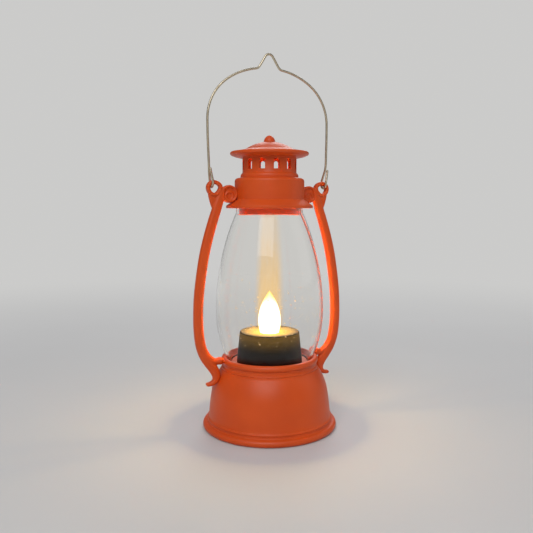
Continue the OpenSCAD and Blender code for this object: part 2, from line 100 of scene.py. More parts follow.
def noise(tree, where, scale, detail=2.0, rough=0.5):
    """Cloudy values between 0 and 1. A larger scale gives a finer pattern."""
    return add(tree, "TexNoise", Vector=where, Scale=scale, Detail=detail, Roughness=rough).outputs["Fac"]


def bump(tree, height, distance, strength=1.0, normal=None):
    """A surface direction tilted by a height pattern, on top of another one if given."""
    node = add(tree, "Bump", Height=height, Distance=distance, Strength=strength)
    if normal is not None:
        tree.links.new(normal, node.inputs["Normal"])
    return node.outputs[0]


def face_up(tree):
    """The upright part of the surface's direction: 1 on level tops, 0 on walls."""
    return add(tree, "SeparateXYZ", Vector=add(tree, "NewGeometry").outputs["Normal"]).outputs["Z"]


def edge_mask(tree, radius):
    """1 on convex and concave edges, 0 on flat stretches."""
    rounded = add(tree, "Bevel", {"samples": 4}, Radius=radius).outputs[0]
    true = add(tree, "NewGeometry").outputs["Normal"]
    return spread(tree, vector_maths(tree, "DOT_PRODUCT", rounded, true, "Value"), 0.995, 0.90)


def mix_shader(tree, share, a, b):
    """Shader a where share is 0, and b where it is 1."""
    return add(tree, "MixShader", in0=share, in1=a.outputs[0], in2=b.outputs[0])


def new_material(name):
    """An empty material and its node tree."""
    material = bpy.data.materials.new(name)
    material.use_nodes = True
    material.node_tree.nodes.clear()
    return material, material.node_tree


def finish_material(tree, shader):
    """Makes a shader the material's surface."""
    add(tree, "OutputMaterial", Surface=shader)


def rgba(r, g, b):
    """An opaque colour."""
    return (r, g, b, 1.0)


# ---------------------------------------------------------------- materials

BACKDROP = rgba(0.60, 0.598, 0.59)      # the tone that the floor fades into
FLOOR_DARK = rgba(0.58, 0.575, 0.565)
FLOOR_PALE = rgba(0.63, 0.625, 0.615)
FLOOR_FADE = (0.08, 0.60)               # distances from the lantern between which it fades

ORANGE = rgba(0.70, 0.086, 0.008)
ORANGE_DARK = rgba(0.62, 0.071, 0.006)
ORANGE_PALE = rgba(0.82, 0.19, 0.045)
ORANGE_DUST = rgba(0.75, 0.50, 0.36)
PLASTIC_SCATTER = 0.05

BLACK = rgba(0.002, 0.002, 0.002)
BLACK_PALE = rgba(0.006, 0.0055, 0.005)
BLACK_SPECK = rgba(0.20, 0.17, 0.12)
BLACK_DUST = rgba(0.30, 0.21, 0.08)

FLAME_HOT = rgba(1.0, 0.93, 0.74)
FLAME_YELLOW = rgba(1.0, 0.55, 0.07)
FLAME_SKIN = rgba(0.30, 0.26, 0.18)
FLAME_WHITE_H = 13 * MM                 # height of the flame's white-hot part
LED_FADE = (34 * MM, 46 * MM)           # heights between which the LED turns from white to yellow
POOL_TONE = rgba(1.0, 0.52, 0.06)       # the flame's light on the cup
POOL_RADII = (4.0 * MM, 13.0 * MM)      # where it starts and ends to fade
STREAK_TONE = rgba(1.0, 0.56, 0.07)     # the flame's mirror image in the globe
STREAK_WIDTH = 5.4 * MM                 # its half width
STREAK_SHARE = 0.48                     # how much of it replaces the glass

GLASS_TINT = rgba(0.99, 0.985, 0.97)
GLASS_IOR = 1.27                        # low, so that the black cup isn't washed out by reflections
MOULD_LINE_Z = 63 * MM
GRAIN_DARK = rgba(0.50, 0.36, 0.18)     # dust inside the globe
GRAIN_PALE = rgba(0.85, 0.72, 0.50)
# painted glow of the dust grains, standing in for the flame's light
GRAIN_PAINTED_GLOW = rgba(1.0, 0.62, 0.16)

BOARD_TRACK = rgba(0.03, 0.22, 0.08)
BOARD_LACQUER = rgba(0.012, 0.09, 0.035)
RESISTOR_DARK = rgba(0.42, 0.28, 0.14)
RESISTOR_PALE = rgba(0.55, 0.40, 0.22)
RESISTOR_CAP = rgba(0.6, 0.6, 0.58)
# plain colour bands: centre in millimetres along X, and tone
RESISTOR_BANDS = (
    (-1.3, rgba(0.30, 0.10, 0.03)), (-0.6, rgba(0.02, 0.02, 0.02)),
    (0.1, rgba(0.30, 0.02, 0.01)), (1.2, rgba(0.60, 0.38, 0.08)),
)


def moulded_plastic(name, roughness):
    """Satin orange plastic: cloudy tone, fine grain, paler worn edges and a little dust on top faces."""
    material, tree = new_material(name)
    where = place(tree)
    cloud = spread(tree, noise(tree, where, 55, 2), 0.25, 0.75)
    tone = mix_colour(tree, cloud, ORANGE_DARK, ORANGE)
    edges = edge_mask(tree, 0.35 * MM)
    worn = maths(tree, "MULTIPLY", edges, spread(tree, noise(tree, where, 420, 4), 0.40, 0.62))
    tone = mix_colour(tree, maths(tree, "MULTIPLY", worn, 0.45), tone, ORANGE_PALE)
    grains = spread(tree, noise(tree, where, 900, 5, 0.7), 0.52, 0.66)
    dust = maths(tree, "MULTIPLY", spread(tree, face_up(tree), 0.45, 0.95), grains)
    tone = mix_colour(tree, maths(tree, "MULTIPLY", dust, 0.035), tone, ORANGE_DUST)
    scuffs = spread(tree, noise(tree, place(tree, (1, 1, 0.12)), 1500, 2), 0.60, 0.72)
    rough = maths(tree, "ADD", roughness, maths(tree, "MULTIPLY", noise(tree, where, 260, 3), 0.14))
    rough = maths(tree, "ADD", rough, maths(tree, "MULTIPLY", dust, 0.25))
    rough = maths(tree, "SUBTRACT", rough, maths(tree, "MULTIPLY", scuffs, 0.08), True)
    grain = bump(tree, noise(tree, where, 5200, 2), 0.02 * MM, 0.35)
    waves = bump(tree, noise(tree, where, 230, 2), 0.10 * MM, 0.30, grain)
    shader = add(tree, "BsdfPrincipled", Base_Color=tone, Roughness=rough, Normal=waves)
    shader.inputs["Specular IOR Level"].default_value = 0.36
    shader.inputs["Subsurface Weight"].default_value = PLASTIC_SCATTER
    shader.inputs["Subsurface Radius"].default_value = (1.0, 0.35, 0.12)
    shader.inputs["Subsurface Scale"].default_value = 1.2 * MM
    finish_material(tree, shader.outputs[0])
    return material


def flame_pool(tree, where, up, top):
    """The flame's light on a black cup: a pool on its top face, and a band that fades down its side."""
    part = add(tree, "SeparateXYZ", Vector=where)
    flat = add(tree, "CombineXYZ", X=part.outputs["X"], Y=part.outputs["Y"]).outputs[0]
    out = vector_maths(tree, "LENGTH", flat, result="Value")
    round_flame = spread(tree, out, *POOL_RADII, 1.5, 0.02)
    pool = maths(tree, "MULTIPLY", round_flame, spread(tree, up, 0.80, 0.98))
    below = maths(tree, "SUBTRACT", top, part.outputs["Z"])
    near_top = spread(tree, below, 0.0, 7.5 * MM, 0.13, 0.0)
    side = maths(tree, "MULTIPLY", near_top, spread(tree, up, 0.6, 0.3))
    grains = spread(tree, noise(tree, where, 2800, 4), 0.35, 0.70, 0.6, 1.5)
    return maths(tree, "MULTIPLY", maths(tree, "ADD", pool, side), grains)


def black_plastic(name, speck_cover, top_dust, lit_top=None):
    """Matte black plastic with pale specks and dust. The flame lights a top face at height lit_top."""
    material, tree = new_material(name)
    where = place(tree)
    specks = spread(tree, noise(tree, where, 1900, 2, 0.6), 0.74 - speck_cover, 0.80 - speck_cover)
    patch = spread(tree, noise(tree, where, 170, 2), 0.42, 0.60)
    specks = maths(tree, "MULTIPLY", specks, patch)
    tone = mix_colour(tree, noise(tree, where, 240, 3), BLACK, BLACK_PALE)
    tone = mix_colour(tree, specks, tone, BLACK_SPECK)
    up = face_up(tree)
    dust = spread(tree, noise(tree, where, 800, 4), 0.2, 0.7)
    settled = maths(tree, "MULTIPLY", spread(tree, up, 0.55, 0.98), dust)
    tone = mix_colour(tree, maths(tree, "MULTIPLY", settled, top_dust), tone, BLACK_DUST)
    rough = maths(tree, "ADD", 0.36, maths(tree, "MULTIPLY", noise(tree, where, 600, 3), 0.25))
    normal = bump(tree, noise(tree, where, 3600, 3), 0.03 * MM, 0.6)
    shader = add(tree, "BsdfPrincipled", Base_Color=tone, Roughness=rough, Normal=normal)
    shader.inputs["Specular IOR Level"].default_value = 0.06
    if lit_top is not None:
        shader.inputs["Emission Color"].default_value = POOL_TONE
        tree.links.new(flame_pool(tree, where, up, lit_top), shader.inputs["Emission Strength"])
    finish_material(tree, shader.outputs[0])
    return material


def metal(name, bright, dull, roughness, stretch, tarnish=0.3):
    """Plated metal with fine lines drawn along one axis and patches of tarnish."""
    material, tree = new_material(name)
    where = place(tree)
    lines = noise(tree, place(tree, stretch), 2600, 2)
    patch = maths(tree, "MULTIPLY", spread(tree, noise(tree, where, 320, 4, 0.6), 0.42, 0.66), tarnish)
    tone = mix_colour(tree, patch, bright, dull)
    rough = maths(tree, "ADD", roughness, maths(tree, "MULTIPLY", lines, 0.14))
    rough = maths(tree, "ADD", rough, maths(tree, "MULTIPLY", patch, 0.5), True)
    normal = bump(tree, lines, 0.01 * MM, 0.4)
    shader = add(tree, "BsdfPrincipled", Base_Color=tone, Roughness=rough, Metallic=1.0, Normal=normal)
    finish_material(tree, shader.outputs[0])
    return material


def flame_streak(tree, width, low, high):
    """1 where a wall of the globe mirrors the flame's upright axis, fading upwards from low to high."""
    flat = (1, 1, 0)
    geometry = add(tree, "NewGeometry")
    ray = vector_maths(tree, "MULTIPLY", geometry.outputs["Incoming"], (-1, -1, -1))
    bounced = vector_maths(tree, "REFLECT", ray, geometry.outputs["Normal"])
    where = place(tree)
    start = vector_maths(tree, "MULTIPLY", where, flat)
    heading = vector_maths(tree, "NORMALIZE", vector_maths(tree, "MULTIPLY", bounced, flat))
    miss = vector_maths(tree, "LENGTH", vector_maths(tree, "CROSS_PRODUCT", start, heading), result="Value")
    inward = vector_maths(tree, "DOT_PRODUCT", start, heading, "Value")
    lines = spread(tree, noise(tree, place(tree, (1, 1, 0.03)), 700, 3), 0.30, 0.70, 0.72, 1.0)
    lit = maths(tree, "MULTIPLY", spread(tree, miss, 0.55 * width, width, 1.0, 0.0), lines)
    lit = maths(tree, "MULTIPLY", lit, maths(tree, "LESS_THAN", inward, 0.0))
    z = add(tree, "SeparateXYZ", Vector=where).outputs["Z"]
    lit = maths(tree, "MULTIPLY", lit, spread(tree, z, low - 5 * MM, low))
    return maths(tree, "MULTIPLY", lit, spread(tree, z, low, high, 1.0, 0.25))


def clear_plastic(name, haze):
    """Thin clear plastic with faint smears, a moulding line, and a painted reflection of the flame that glows
    on its walls.
    """
    material, tree = new_material(name)
    where = place(tree)
    smear = spread(tree, noise(tree, place(tree, (1, 1, 0.25)), 260, 4, 0.6), 0.50, 0.75)
    rough = maths(tree, "ADD", 0.015, maths(tree, "MULTIPLY", smear, haze))
    z = add(tree, "SeparateXYZ", Vector=where).outputs["Z"]
    off_line = maths(tree, "ABSOLUTE", maths(tree, "SUBTRACT", z, MOULD_LINE_Z))
    line = spread(tree, off_line, 0.05 * MM, 0.22 * MM, 1.0, 0.0)
    waves = bump(tree, noise(tree, where, 90, 2), 0.15 * MM, 0.10)
    normal = bump(tree, line, 0.02 * MM, 0.25, waves)
    glass = add(tree, "BsdfPrincipled", Base_Color=GLASS_TINT, Roughness=rough, Normal=normal)
    glass.inputs["Transmission Weight"].default_value = 1.0
    glass.inputs["IOR"].default_value = GLASS_IOR
    clear = add(tree, "BsdfTransparent", Color=GLASS_TINT)
    rays = add(tree, "LightPath")
    seen = maths(tree, "MAXIMUM", rays.outputs["Is Shadow Ray"], rays.outputs["Is Diffuse Ray"])
    # painted reflection: an emission where a wall would mirror the flame
    glow = add(tree, "Emission", Color=STREAK_TONE, Strength=1.0)
    streak = flame_streak(tree, STREAK_WIDTH, flame_low.z, globe_high.z)
    painted_reflection_share = maths(tree, "MULTIPLY", streak, STREAK_SHARE)
    skin = mix_shader(tree, painted_reflection_share, glass, glow)
    finish_material(tree, mix_shader(tree, seen, skin, clear).outputs[0])
    return material


def flame_glow(name, low, high):
    """Translucent plastic lit from inside: white-hot low down, yellow towards its tip and round its edge."""
    material, tree = new_material(name)
    z = add(tree, "SeparateXYZ", Vector=add(tree, "TexCoord").outputs["Object"]).outputs["Z"]
    up = spread(tree, z, low, high)
    facing = add(tree, "LayerWeight", Blend=0.30).outputs["Facing"]
    edge = maths(tree, "MULTIPLY", facing, maths(tree, "ADD", 0.45, maths(tree, "MULTIPLY", up, 0.4)))
    mottle = maths(tree, "MULTIPLY", noise(tree, place(tree), 240, 2), 0.08)
    cool = maths(tree, "ADD", maths(tree, "ADD", maths(tree, "MULTIPLY", up, 0.75), edge), mottle, True)
    tone = mix_colour(tree, cool, FLAME_HOT, FLAME_YELLOW)
    power = maths(tree, "SUBTRACT", 2.6, maths(tree, "MULTIPLY", cool, 1.25))
    light = add(tree, "Emission", Color=tone, Strength=power)
    skin = add(tree, "BsdfPrincipled", Base_Color=FLAME_SKIN, Roughness=0.35)
    finish_material(tree, add(tree, "AddShader", in0=light.outputs[0], in1=skin.outputs[0]).outputs[0])
    return material


def circuit_board(name):
    """Green lacquer, paler where it covers a web of copper tracks. bare is 1 between the tracks."""
    material, tree = new_material(name)
    where = place(tree)
    cells = add(tree, "TexVoronoi", {"feature": "DISTANCE_TO_EDGE"}, Vector=where, Scale=260.0).outputs[0]
    bare = spread(tree, cells, 0.10, 0.13)
    tone = mix_colour(tree, bare, BOARD_TRACK, BOARD_LACQUER)
    rough = maths(tree, "ADD", 0.25, maths(tree, "MULTIPLY", noise(tree, where, 900, 2), 0.2))
    normal = bump(tree, bare, 0.03 * MM, 0.5)
    shader = add(tree, "BsdfPrincipled", Base_Color=tone, Roughness=rough, Normal=normal)
    finish_material(tree, shader.outputs[0])
    return material


def banded_resistor(name):
    """Lacquered tan body with four plain colour bands along X."""
    material, tree = new_material(name)
    x = add(tree, "SeparateXYZ", Vector=add(tree, "TexCoord").outputs["Object"]).outputs["X"]
    tone = mix_colour(tree, noise(tree, place(tree), 1200, 2), RESISTOR_DARK, RESISTOR_PALE)
    for centre, colour in RESISTOR_BANDS:
        off = maths(tree, "ABSOLUTE", maths(tree, "SUBTRACT", x, centre * MM))
        tone = mix_colour(tree, maths(tree, "LESS_THAN", off, 0.16 * MM), tone, colour)
    metal_end = maths(tree, "GREATER_THAN", maths(tree, "ABSOLUTE", x), 2.75 * MM)
    tone = mix_colour(tree, metal_end, tone, RESISTOR_CAP)
    shader = add(tree, "BsdfPrincipled", Base_Color=tone, Roughness=0.35, Metallic=metal_end)
    shader.inputs["Coat Weight"].default_value = 0.3
    finish_material(tree, shader.outputs[0])
    return material


def rubber_skin(name, colour, pale):
    """Soft insulation of a thin wire: uneven tone and a fine grain."""
    material, tree = new_material(name)
    where = place(tree)
    tone = mix_colour(tree, noise(tree, where, 700, 3), colour, pale)
    normal = bump(tree, noise(tree, where, 2800, 2), 0.02 * MM, 0.5)
    shader = add(tree, "BsdfPrincipled", Base_Color=tone, Roughness=0.55, Normal=normal)
    finish_material(tree, shader.outputs[0])
    return material


def floor_finish(name):
    """Plain pale matte floor with the faintest unevenness, which fades into the backdrop."""
    material, tree = new_material(name)
    where = place(tree)
    tone = mix_colour(tree, noise(tree, where, 9, 3), FLOOR_DARK, FLOOR_PALE)
    normal = bump(tree, noise(tree, where, 900, 3), 0.05 * MM, 0.25)
    matte = add(tree, "BsdfPrincipled", Base_Color=tone, Roughness=0.7, Normal=normal)
    far = vector_maths(tree, "LENGTH", where, result="Value")
    backdrop = add(tree, "Emission", Color=BACKDROP)
    fade = spread(tree, far, *FLOOR_FADE)
    finish_material(tree, mix_shader(tree, fade, matte, backdrop).outputs[0])
    return material


flame_low, flame_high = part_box("flame_tip")
cup_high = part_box("candle_cup")[1]
globe_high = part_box("globe")[1]
finishes = {
    "orange_base": moulded_plastic("orange_base", 0.34),
    "orange_crown": moulded_plastic("orange_crown", 0.36),
    "orange_arm": moulded_plastic("orange_arm", 0.32),
    "screw_steel": metal("screw_steel", rgba(0.62, 0.63, 0.64), rgba(0.30, 0.29, 0.27), 0.24, (1, 1, 1)),
    "nickel_sheet": metal("nickel_sheet", rgba(0.72, 0.70, 0.65), rgba(0.42, 0.38, 0.30), 0.16, (1, 1, 0.1)),
    "slider_black": black_plastic("slider_black", 0.0, 0.0),
    "cell_steel": metal("cell_steel", rgba(0.78, 0.78, 0.77), rgba(0.5, 0.48, 0.44), 0.12, (0.1, 1, 1)),
    "cup_black": black_plastic("cup_black", 0.06, 0.25, cup_high.z),
    "board_green": circuit_board("board_green"),
    "resistor_body": banded_resistor("resistor_body"),
    "led_resin": flame_glow("led_resin", *LED_FADE),
    "flame_white": flame_glow("flame_white", flame_low.z + FLAME_WHITE_H, flame_high.z),
    "wire_red": rubber_skin("wire_red", rgba(0.45, 0.01, 0.01), rgba(0.60, 0.03, 0.02)),
    "wire_black": rubber_skin("wire_black", rgba(0.012, 0.012, 0.012), rgba(0.03, 0.03, 0.03)),
    "globe_clear": clear_plastic("globe_clear", 0.05),
    "bail_steel": metal("bail_steel", rgba(0.66, 0.57, 0.42), rgba(0.36, 0.28, 0.17), 0.30, (1, 1, 0.05)),
}


# ---------------------------------------------------------------- mesh helpers

def dress_cad(node, material):
    """Gives a CAD node its material, and smooth shading that stays sharp at real edges."""
    obj = frame["nodes"][node]
    mesh = obj.data
    mesh.materials.clear()
    mesh.materials.append(material)
    if "custom_normal" in mesh.attributes:
        mesh.attributes.remove(mesh.attributes["custom_normal"])
    for polygon in mesh.polygons:
        polygon.use_smooth = True
    weld = obj.modifiers.new("weld", "WELD")
    weld.merge_threshold = 0.002 * MM
    split = obj.modifiers.new("split", "EDGE_SPLIT")
    split.split_angle = SPLIT_ANGLE
    split.use_edge_sharp = False


def new_object(name, verts, faces, slot, body, material=None):
    """A smooth mesh, given in millimetres, that rides on a CAD body in its slot's finish or in material."""
    mesh = bpy.data.meshes.new(name)
    mesh.from_pydata([Vector(v) * MM for v in verts], [], faces)
    for polygon in mesh.polygons:
        polygon.use_smooth = True
    obj = bpy.data.objects.new(name, mesh)
    bpy.context.scene.collection.objects.link(obj)
    mesh.materials.append(material or finishes[slot])
    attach(obj, body)
    return obj


def between(p, q, r, u, t):
    """The value at share t from q to r on a smooth curve through p, q, r and u."""
    square = (2 * p - 5 * q + 4 * r - u) * t * t
    cube = (3 * q - p - 3 * r + u) * t ** 3
    return 0.5 * (2 * q + (r - p) * t + square + cube)


def spline(points, steps):
    """A smooth curve through points of any dimension, with steps pieces between neighbours."""
    out = []
    count = len(points)
    for i in range(count - 1):
        a, b, c, d = (points[max(0, min(count - 1, i + k))] for k in (-1, 0, 1, 2))
        for s in range(steps):
            t = s / steps
            out.append(tuple(between(*row, t) for row in zip(a, b, c, d)))
    out.append(tuple(points[-1]))
    return out


def tube(path, sides, halves, closed=False, square=2.0):
    """Vertices and faces of a tube. halves(i) is its half width in the path's plane and half depth across."""
    path = [Vector(p) for p in path]
    count = len(path)
    verts, faces = [], []
    across = Vector((0, 1, 0))
    for i, point in enumerate(path):
        if closed:
            along = path[(i + 1) % count] - path[i - 1]
        else:
            along = path[min(i + 1, count - 1)] - path[max(i - 1, 0)]
        along.normalize()
        across = (across - along * across.dot(along)).normalized()
        side = across.cross(along)
        half_w, half_d = halves(i)
        for k in range(sides):
            a = 2 * math.pi * k / sides
            c, s = math.cos(a), math.sin(a)
            c = math.copysign(abs(c) ** (2 / square), c)
            s = math.copysign(abs(s) ** (2 / square), s)
            verts.append(point + side * (half_w * c) + across * (half_d * s))
    rings = count if closed else count - 1
    for i in range(rings):
        for k in range(sides):
            j, m = (i + 1) % count, (k + 1) % sides
            faces.append((i * sides + k, i * sides + m, j * sides + m, j * sides + k))
    if not closed:
        faces.append(tuple(range(sides - 1, -1, -1)))
        faces.append(tuple((count - 1) * sides + k for k in range(sides)))
    return verts, faces


def slab(outline, half_depth):
    """A flat plate in the XZ plane with the given outline of (x, z) points."""
    count = len(outline)
    verts = [(x, y, z) for y in (-half_depth, half_depth) for x, z in outline]
    faces = [tuple(range(count)), tuple(range(2 * count - 1, count - 1, -1))]
    faces += [(i, i + count, (i + 1) % count + count, (i + 1) % count) for i in range(count)]
    return verts, faces


def ring_path(cx, cz, radius, start=0.0, end=360.0, steps=40):
    """Points round an arc in the XZ plane."""
    first = math.radians(start)
    span = math.radians(end - start)
    angles = [first + span * i / steps for i in range(steps + 1)]
    return [(cx + radius * math.cos(a), 0, cz + radius * math.sin(a)) for a in angles]


def fuse(parts, voxel, smoothing):
    """Joins closed shapes given in millimetres into one blended skin and returns its vertices and faces."""
    verts, faces = [], []
    for part_verts, part_faces in parts:
        first = len(verts)
        verts += [tuple(v) for v in part_verts]
        faces += [tuple(first + k for k in face) for face in part_faces]
    mesh = bpy.data.meshes.new("fuse")
    mesh.from_pydata(verts, [], faces)
    obj = bpy.data.objects.new("fuse", mesh)
    bpy.context.scene.collection.objects.link(obj)
    remesh = obj.modifiers.new("remesh", "REMESH")
    remesh.mode = "VOXEL"
    remesh.voxel_size = voxel
    smooth = obj.modifiers.new("smooth", "SMOOTH")
    smooth.factor = 0.5
    smooth.iterations = smoothing
    shaped = obj.evaluated_get(bpy.context.evaluated_depsgraph_get()).to_mesh()
    verts = [v.co.copy() for v in shaped.vertices]
    faces = [tuple(p.vertices) for p in shaped.polygons]
    bpy.data.objects.remove(obj)
    return verts, faces


# ---------------------------------------------------------------- side arms

EYELET = (24.4, 101.65)      # centres of the eye and of the scroll, in millimetres like everything below
SCROLL = (17.95, 99.25)
SCROLL_R = 3.05
BAND = 0.62          # half width of the raised band round the scroll
EYE_BAND = 0.85      # the same round the eye
FLAT = 1.42          # half depth of the arm's flat top

# centre line of the bar from the top of the scroll down to the toe: x, z, half width, half depth
ARM_LINE = (
    (20.35, 101.3, 0.90, FLAT), (21.1, 99.8, 1.38, FLAT), (21.85, 97.3, 1.75, 1.46),
    (22.7, 94.8, 1.90, 1.54), (23.6, 92.0, 1.94, 1.62), (24.85, 88.3, 1.97, 1.70),
    (26.85, 81.6, 2.00, 1.76), (28.7, 74.0, 2.02, 1.80), (30.2, 65.0, 2.03, 1.80), (31.15, 57.0, 2.03, 1.80),
    (31.5, 49.0, 2.03, 1.80), (31.35, 43.0, 2.05, 1.80), (30.62, 37.2, 2.10, 1.78), (29.05, 32.6, 2.12, 1.72),
    (27.0, 29.3, 2.10, 1.64), (25.15, 26.7, 2.05, 1.56), (24.15, 24.6, 1.90, 1.50), (24.1, 22.9, 1.60, 1.45),
    (24.75, 21.5, 1.24, 1.42), (25.9, 20.75, 0.98, 1.42), (27.1, 20.45, 0.82, 1.42),
    (28.05, 20.45, 0.68, 1.30), (28.4, 20.45, 0.36, 0.95),
)
# stub from inside the bar to its knob at the neck bead: x, z, radius
STUB_LINE = (
    (30.0, 37.0, 1.40), (29.2, 34.8, 1.55), (27.9, 32.4, 1.62), (26.1, 30.6, 1.56), (24.4, 29.9, 1.45),
    (23.3, 29.9, 1.48), (22.45, 30.0, 1.64), (21.65, 30.0, 1.55), (21.05, 30.0, 1.10),
)
VOXEL = 0.13         # grid in which an arm's parts are blended
SMOOTHING = 8        # rounds of smoothing after that
PLATE = 0.80         # half depth of the scroll's recessed disc
WEB_PLATE = 0.85     # half depth of the web
EDGE_ROUND = (0.62, 0.92)      # half width and half depth of the web's rounded edge
CURL_DROP = 0.85     # the ring in the scroll hangs this far below its centre
CURL_R = 1.58
CURL_HALVES = (0.52, 1.25)
PIN = (14.9, 16.0, SCROLL[1], 0.8)      # from the scroll to the collar: first and last x, height, radius
PEG = (19.6, 22.0, 29.5, 0.66)          # from the stub into the neck bead

# raised band round the eye, as steps from the eye's centre: a loop drawn out towards the scroll and the bar
EYE_LOOP = (
    (-2.70, 0.95), (-1.95, 1.70), (-0.85, 2.22), (0.35, 2.36), (1.47, 1.86), (2.16, 0.98), (2.36, -0.10),
    (2.08, -1.20), (1.38, -2.12), (0.38, -2.68), (-0.66, -2.64), (-1.60, -2.04), (-2.36, -1.10),
    (-2.80, -0.05),
)
# thin web between the eye's lower edge and the bar
WEB = (
    (21.3, 102.0), (22.4, 100.0), (23.7, 98.9), (25.0, 99.1), (26.1, 100.1), (26.2, 98.4),
    (25.75, 96.5), (25.2, 94.7), (24.5, 93.1), (23.3, 92.9), (21.9, 96.5), (20.7, 100.6),
)
# rounded outer edge of the web
WEB_EDGE = ((26.25, 99.7), (26.1, 98.4), (25.65, 96.5), (25.1, 94.7), (24.2, 92.4))


def round_pin(first_x, last_x, z, radius):
    """A short level rod along X."""
    return tube([(first_x, 0, z), (last_x, 0, z)], 14, lambda i: (radius, radius))


def arm_parts():
    """The right arm as closed shapes that are then blended together."""
    band_line = [(x, z, BAND, FLAT) for x, _, z in ring_path(*SCROLL, SCROLL_R, 330, 60)]
    line = band_line + spline(ARM_LINE, 6)
    parts = [tube([(x, 0, z) for x, z, w, d in line], 20, lambda i: line[i][2:], square=2.7)]
    stub = spline(STUB_LINE, 5)
    parts.append(tube([(x, 0, z) for x, z, r in stub], 18, lambda i: (stub[i][2], stub[i][2])))
    loop = [(EYELET[0] + x, 0, EYELET[1] + z) for x, z in spline(EYE_LOOP + EYE_LOOP[:1], 4)[:-1]]
    parts.append(tube(loop, 14, lambda i: (EYE_BAND, FLAT), closed=True, square=2.8))
    parts.append(slab(WEB, WEB_PLATE))
    edge = spline(WEB_EDGE, 5)
    parts.append(tube([(x, 0, z) for x, z in edge], 16, lambda i: EDGE_ROUND))
    # recessed disc of the scroll, the ring that hangs in it and the pin that meets the collar
    disc = [(x, z) for x, _, z in ring_path(*SCROLL, SCROLL_R + 0.1)[:-1]]
    parts.append(slab(disc, PLATE))
    curl = ring_path(SCROLL[0], SCROLL[1] - CURL_DROP, CURL_R)[:-1]
    parts.append(tube(curl, 12, lambda i: CURL_HALVES, closed=True, square=2.6))
    return parts + [round_pin(*PIN), round_pin(*PEG)]


def build_arms():
    """Both side arms: one blended skin, and its mirror image."""
    verts, faces = fuse(arm_parts(), VOXEL, SMOOTHING)
    right = new_object("arm_right_skin", verts, faces, "orange_arm", "body")
    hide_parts("right_arm")
    mirrored = [(-v.x, v.y, v.z) for v in verts]
    left = new_object("arm_left_skin", mirrored, [face[::-1] for face in faces], "orange_arm", "body")
    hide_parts("left_arm")


# ---------------------------------------------------------------- bail

BAIL_R = 0.48
BAIL_END_R = 0.8 * BAIL_R
BAIL_LEAN = 0.003                # the loose wire sits a little to one side at its top
swing = next(joint for joint in frame["record"]["behaviour"]["joints"] if joint["name"] == "bail_swing")
HOOK = (25.3, swing["pos_m"][2] / MM, 2.3)        # x, height of the swing axis, radius of the hook
HOOK_STEPS = 16
BAIL_SHOULDER = (6.7, 129.0, 20.0, 0.0, 54.0)      # arc: centre x and z, radius, first and last angle
BAIL_CREST = (1.41, 121.72, 29.0, 54.0, 83.4)
BAIL_PEAK = (0.0, 154.6, 1.9, 31.5, 90.0)
# the wire's short free end down to its hook, and its leg from the hook up to the shoulder
BAIL_END = ((26.3, -1.7, 109.75), (25.85, -2.0, 106.9))
BAIL_LEG = (
    (25.9, 1.15, 107.6), (26.3, 0.0, 111.0), (26.5, 0.0, 117.0), (26.66, 0.0, 123.0), (26.7, 0.0, 129.0),
)


def bail_half():
    """Points of the right half of the wire, from its free end to the peak."""
    x, axis_z, radius = HOOK
    points = spline(BAIL_END + ((x, -radius, axis_z),), 6)[:-1]
    for i in range(HOOK_STEPS + 1):
        a = math.pi * i / HOOK_STEPS
        points.append((x, -radius * math.cos(a), axis_z - radius * math.sin(a)))
    points += spline(((x, radius, axis_z),) + BAIL_LEG, 6)[1:-1]
    for cx, cz, r, first, last in (BAIL_SHOULDER, BAIL_CREST):
        points += ring_path(cx, cz, r, first, last, 22)
    cx, cz, r, first, last = BAIL_PEAK
    peak = ring_path(cx, cz, r, first, last, 10)
    foot, top = Vector(points[-1]), Vector(peak[0])
    points += [tuple(foot.lerp(top, t)) for t in (0.12, 0.3, 0.5, 0.7, 0.88)]
    return points + peak


def soften(points, rounds):
    """Rounds the kinks of a path without moving its ends."""
    for _ in range(rounds):
        inner = [tuple((a + 2 * b + c) / 4 for a, b, c in zip(*three))
                 for three in zip(points, points[1:], points[2:])]
        points = [points[0]] + inner + [points[-1]]
    return points


def build_bail():
    """The bail: one bent wire with slightly dulled cut ends."""
    half = bail_half()
    path = soften(half + [(-x, y, z) for x, y, z in half[-2::-1]], 2)
    path = [(x - BAIL_LEAN * (z - HOOK[1]), y, z) for x, y, z in path]
    last = len(path) - 1
    verts, faces = tube(path, 14, lambda i: (BAIL_R, BAIL_R) if 0 < i < last else (BAIL_END_R, BAIL_END_R))
    wire = new_object("bail_bent_wire", verts, faces, "bail_steel", "bail")
    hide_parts("bail_wire")


# ---------------------------------------------------------------- globe details

GLOBE_R = globe_high.x / MM
GLOBE_WAIST, GLOBE_WALL = 50.0, 1.2
GLOBE_TOP_ARC, GLOBE_LOW_ARC = 102.0, 49.0       # radii of its upright curve over and under the waist
SPECKS = 420
SPECK_Z, SPECK_SPAN = 36, 32
SPECK_SIDES = 6
SPECK_SIZES = (0.06, 0.08, 0.08, 0.12, 0.18)


def globe_radius(z, inset):
    """The globe's radius at height z, the given depth inside its outer face."""
    arc = GLOBE_TOP_ARC if z > GLOBE_WAIST else GLOBE_LOW_ARC
    return GLOBE_R - arc + math.sqrt((arc - inset) ** 2 - (z - GLOBE_WAIST) ** 2)


